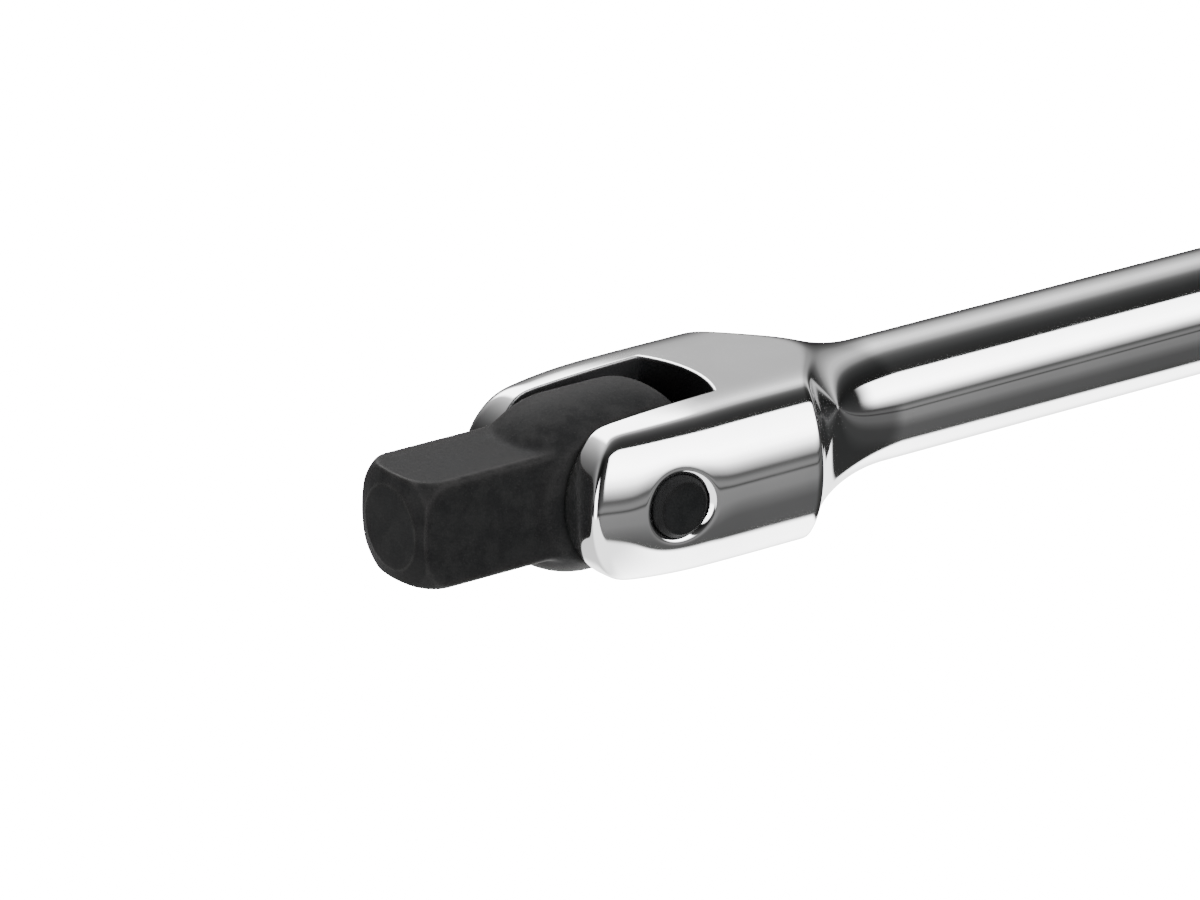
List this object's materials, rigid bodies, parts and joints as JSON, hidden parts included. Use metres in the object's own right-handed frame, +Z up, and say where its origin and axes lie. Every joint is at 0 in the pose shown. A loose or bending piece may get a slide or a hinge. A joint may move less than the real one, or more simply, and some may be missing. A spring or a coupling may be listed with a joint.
{
  "type": "hinged breaker bar",
  "caption": "Long chrome breaker bar with a forked end holding a black square drive head that swings on a pin.",
  "frame": {"origin": "centre of the drive square's end face", "axes": "+X runs from the drive end along the handle, the hinge pin lies along Y, +Z is up through the fork's upper flat"},
  "size_m": [0.5, 0.048, 0.031],
  "materials": {
    "chrome": "polished chrome plate",
    "black_oxide": "matte black oxide",
    "pin_black": "black oxide, satin",
    "ball_steel": "polished hardened steel",
    "spring_steel": "drawn wire"
  },
  "bodies": {
    "handle": {"handle": "chrome", "pivot_pin": "pin_black", "friction_spring": "spring_steel"},
    "drive_head": {"drive_head": "black_oxide", "socket_ball_spring": "spring_steel"},
    "socket_ball": {"socket_ball": "ball_steel"},
    "friction_ball": {"friction_ball": "ball_steel"}
  },
  "joints": [
    {"name": "head_hinge", "type": "hinge", "parent": "handle", "child": "drive_head", "pos_m": [0.0439, 0, 0], "axis": [0, 1, 0], "range_deg": [-100, 100]},
    {"name": "socket_ball_press", "type": "slide", "parent": "drive_head", "child": "socket_ball", "axis": [0, 0, 1], "range_m": [0, 0.0011], "stiffness_N_per_m": 1500, "springref_m": -0.002, "deforming": ["socket_ball_spring"]},
    {"name": "friction_ball_press", "type": "slide", "parent": "handle", "child": "friction_ball", "axis": [1, 0, 0], "range_m": [0, 0.0007], "stiffness_N_per_m": 5000, "springref_m": -0.002}
  ]
}
